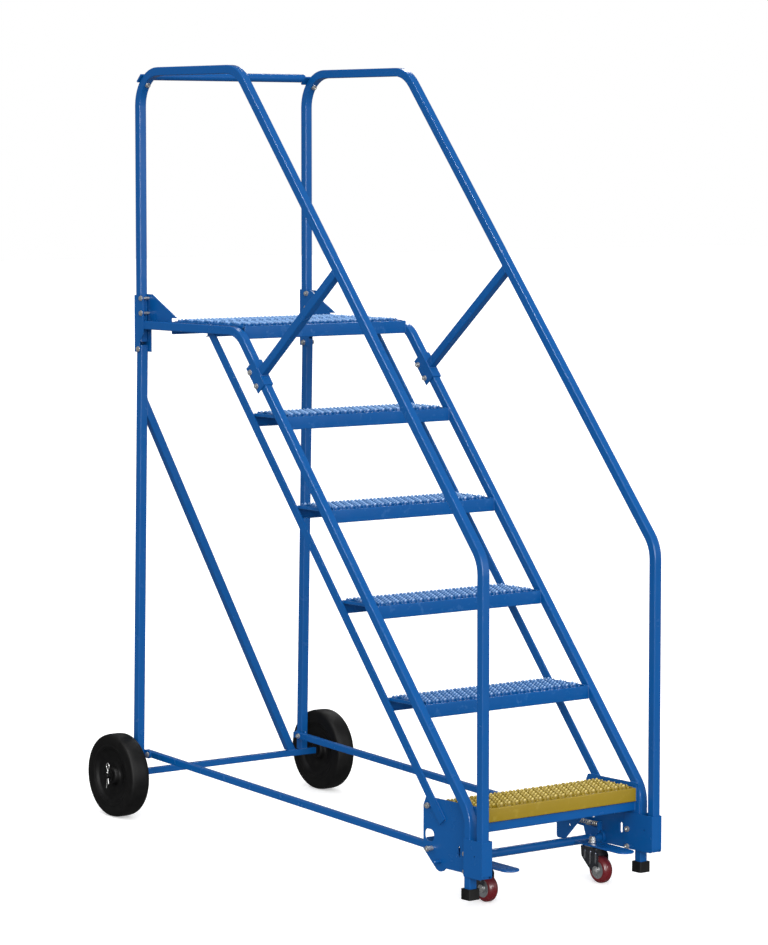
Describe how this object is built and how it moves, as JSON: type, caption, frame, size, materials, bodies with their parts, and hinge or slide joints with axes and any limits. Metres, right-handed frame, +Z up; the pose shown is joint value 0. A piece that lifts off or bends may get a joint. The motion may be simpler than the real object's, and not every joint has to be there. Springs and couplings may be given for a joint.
{
  "type": "rolling warehouse ladder",
  "caption": "Rolling steel ladder with perforated treads, a guarded platform, fixed rear wheels and a sprung front caster rocker.",
  "frame": {"origin": "on the floor under the centre of the whole ladder, midway between its side frames", "axes": "+Z up, +Y to the rear (the platform end), +X to the right of a person who climbs it"},
  "size_m": [0.876, 1.7949, 2.2856],
  "materials": {
    "blue_paint": "semi-gloss powder coat",
    "yellow_paint": "semi-gloss powder coat",
    "zinc": "bright zinc plate",
    "black_rubber": "matt",
    "tyre_rubber": "matt",
    "wheel_hub": "satin black",
    "spring_steel": "oiled",
    "caster_steel": "bright plate",
    "caster_tread": "satin",
    "caster_core": "satin"
  },
  "bodies": {
    "frame": {"left_stringer": "blue_paint", "right_stringer": "blue_paint", "left_handrail": "blue_paint", "right_handrail": "blue_paint", "left_step_bar": "blue_paint", "right_step_bar": "blue_paint", "left_handrail_brace": "blue_paint", "right_handrail_brace": "blue_paint", "left_brace_bracket": "blue_paint", "right_brace_bracket": "blue_paint", "left_side_plate": "blue_paint", "right_side_plate": "blue_paint", "left_front_bracket": "blue_paint", "right_front_bracket": "blue_paint", "left_foot_pad": "black_rubber", "right_foot_pad": "black_rubber", "left_post_bracket": "blue_paint", "right_post_bracket": "blue_paint", "left_leg": "blue_paint", "right_leg": "blue_paint", "left_base_rail": "blue_paint", "right_base_rail": "blue_paint", "bottom_step": "yellow_paint", "step_2": "blue_paint", "step_3": "blue_paint", "step_4": "blue_paint", "step_5": "blue_paint", "platform_front_plank": "blue_paint", "platform_rear_plank": "blue_paint", "cross_channel": "blue_paint", "leg_diagonal": "blue_paint", "axle_tube": "blue_paint", "axle_rod": "wheel_hub", "axle_washers": "wheel_hub", "cotter_pins": "zinc", "top_cross_rail": "blue_paint", "frame_bolts": "zinc", "frame_nuts": "zinc", "shaft_hanger": "blue_paint", "bolt_spacers": "zinc", "left_spring": "spring_steel", "right_spring": "spring_steel"},
    "left_wheel": {"left_tyre": "tyre_rubber", "left_hub": "wheel_hub"},
    "right_wheel": {"right_tyre": "tyre_rubber", "right_hub": "wheel_hub"},
    "rocker": {"rocker_shaft": "blue_paint", "shaft_pivots": "blue_paint", "left_pedal": "blue_paint", "right_pedal": "blue_paint", "lever_arms": "blue_paint", "caster_kingpins": "zinc"},
    "left_swivel": {"left_caster_fork": "caster_steel", "left_caster_axle": "zinc"},
    "right_swivel": {"right_caster_fork": "caster_steel", "right_caster_axle": "zinc"},
    "left_caster_wheel": {"left_caster_tread": "caster_tread", "left_caster_hub": "caster_core"},
    "right_caster_wheel": {"right_caster_tread": "caster_tread", "right_caster_hub": "caster_core"}
  },
  "joints": [
    {"name": "left_wheel_spin", "type": "hinge", "parent": "frame", "child": "left_wheel", "pos_m": [-0.3915, 0.7704, 0.127], "axis": [1, 0, 0], "continuous": true},
    {"name": "right_wheel_spin", "type": "hinge", "parent": "frame", "child": "right_wheel", "pos_m": [0.3915, 0.7704, 0.127], "axis": [1, 0, 0], "continuous": true},
    {"name": "rocker_tilt", "type": "hinge", "parent": "frame", "child": "rocker", "pos_m": [0, -0.67949, 0.10582], "axis": [-1, 0, 0], "range_deg": [0, 20], "stiffness_Nm_per_rad": 110, "springref_deg": -25.78, "deforming": ["left_spring", "right_spring"]},
    {"name": "left_caster_swivel", "type": "hinge", "parent": "rocker", "child": "left_swivel", "pos_m": [-0.21, -0.73449, 0.10332], "axis": [0, 0, 1], "continuous": true},
    {"name": "right_caster_swivel", "type": "hinge", "parent": "rocker", "child": "right_swivel", "pos_m": [0.21, -0.73449, 0.10332], "axis": [0, 0, 1], "continuous": true},
    {"name": "left_caster_spin", "type": "hinge", "parent": "left_swivel", "child": "left_caster_wheel", "pos_m": [-0.21, -0.77449, 0.0381], "axis": [1, 0, 0], "continuous": true},
    {"name": "right_caster_spin", "type": "hinge", "parent": "right_swivel", "child": "right_caster_wheel", "pos_m": [0.21, -0.77449, 0.0381], "axis": [1, 0, 0], "continuous": true}
  ]
}
